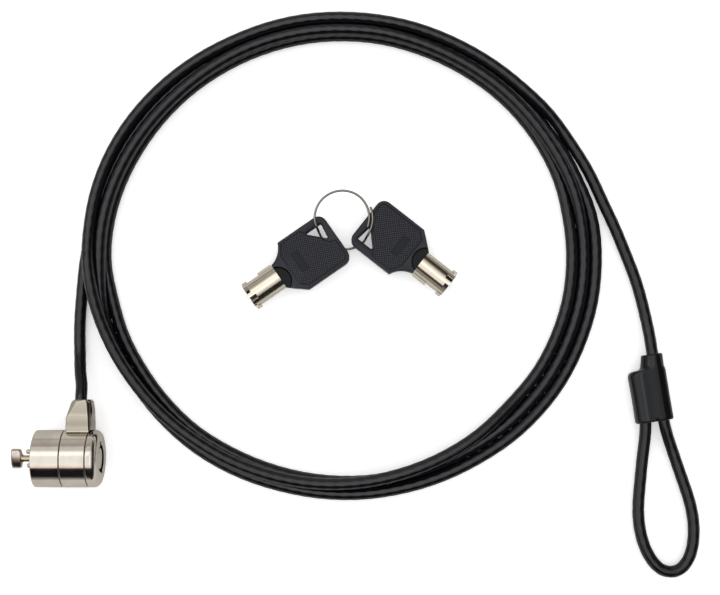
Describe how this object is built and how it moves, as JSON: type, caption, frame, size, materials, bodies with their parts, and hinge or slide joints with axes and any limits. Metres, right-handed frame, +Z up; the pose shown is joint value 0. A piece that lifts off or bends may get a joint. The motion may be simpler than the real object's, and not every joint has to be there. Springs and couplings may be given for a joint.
{
  "type": "laptop cable lock",
  "caption": "T-bar security lock on a coiled, plastic-coated wire rope with a crimped loop end, and tubular keys on a wire ring.",
  "frame": {"origin": "centre of the lock's nose face, on the turning axis of the T-bar", "axes": "+X from the nose towards the keyway, +Y from the barrel towards the cable, +Z up; the object lies on a flat surface 9.5 mm below the origin"},
  "size_m": [0.2305, 0.1934, 0.0191],
  "materials": {
    "satin_nickel": "satin nickel plate on die-cast zinc",
    "bright_nickel": "bright nickel plate",
    "steel": "turned steel",
    "brass": "machined brass",
    "spring_steel": "spring steel wire",
    "wire_rope": "galvanised steel wire rope",
    "crimp_aluminium": "swaged aluminium",
    "black_pvc": "satin gloss black PVC",
    "boot_plastic": "gloss black PVC moulding",
    "bow_plastic": "matt black ABS with a cross-hatched panel",
    "nylon": "dark nylon"
  },
  "bodies": {
    "cable": {"cable_jacket": "black_pvc", "cable_core": "wire_rope", "neck_ferrule": "steel", "crimp_sleeve": "crimp_aluminium", "loop_boot": "boot_plastic"},
    "collar": {"swivel_collar": "satin_nickel"},
    "lock_body": {"front_housing": "satin_nickel", "guard_pins": "steel", "thrust_washer": "brass", "driver_body": "brass", "pin_springs": "spring_steel", "body_retaining_pin": "steel", "cylinder_sleeve": "brass", "turn_stop_pin": "steel", "retaining_ring": "spring_steel", "rear_cap": "satin_nickel", "front_collar_washer": "nylon", "rear_collar_washer": "nylon"},
    "plug": {"plug": "bright_nickel", "t_bar": "bright_nickel", "spindle_cross_pin": "steel"},
    "key_pins": {"key_pins": "steel"},
    "driver_pins": {"driver_pins": "brass"},
    "key_ring": {"key_ring": "spring_steel"},
    "key_a": {"key_a_tube": "bright_nickel", "key_a_bow": "bow_plastic"},
    "key_b": {"key_b_tube": "bright_nickel", "key_b_bow": "bow_plastic"}
  },
  "joints": [
    {"name": "neck_spin", "type": "hinge", "parent": "cable", "child": "collar", "pos_m": [0.0145, 0.0125, 0], "axis": [0, 1, 0], "continuous": true},
    {"name": "collar_swivel", "type": "hinge", "parent": "collar", "child": "lock_body", "pos_m": [0.0135, 0, 0], "axis": [1, 0, 0], "continuous": true},
    {"name": "t_bar_turn", "type": "hinge", "parent": "lock_body", "child": "plug", "pos_m": [0.0135, 0, 0], "axis": [1, 0, 0], "range_deg": [0, 90]},
    {"name": "key_pin_slide", "type": "slide", "parent": "plug", "child": "key_pins", "axis": [1, 0, 0], "range_m": [0, 0.0012]},
    {"name": "driver_pin_slide", "type": "slide", "parent": "lock_body", "child": "driver_pins", "axis": [1, 0, 0], "range_m": [0, 0.0012]},
    {"name": "ring_lift", "type": "slide", "parent": "cable", "child": "key_ring", "axis": [0, 0, 1], "range_m": [0, 0.06]},
    {"name": "key_a_swing", "type": "hinge", "parent": "key_ring", "child": "key_a", "pos_m": [0.09359, 0.07689, -0.0051], "axis": [0, 0, 1], "range_deg": [-60, 3]},
    {"name": "key_b_swing", "type": "hinge", "parent": "key_ring", "child": "key_b", "pos_m": [0.1097, 0.07449, -0.0051], "axis": [0, 0, 1], "range_deg": [-3, 60]}
  ],
  "couplings": [
    {"joint": "driver_pin_slide", "follows": "key_pin_slide", "ratio": 1}
  ]
}
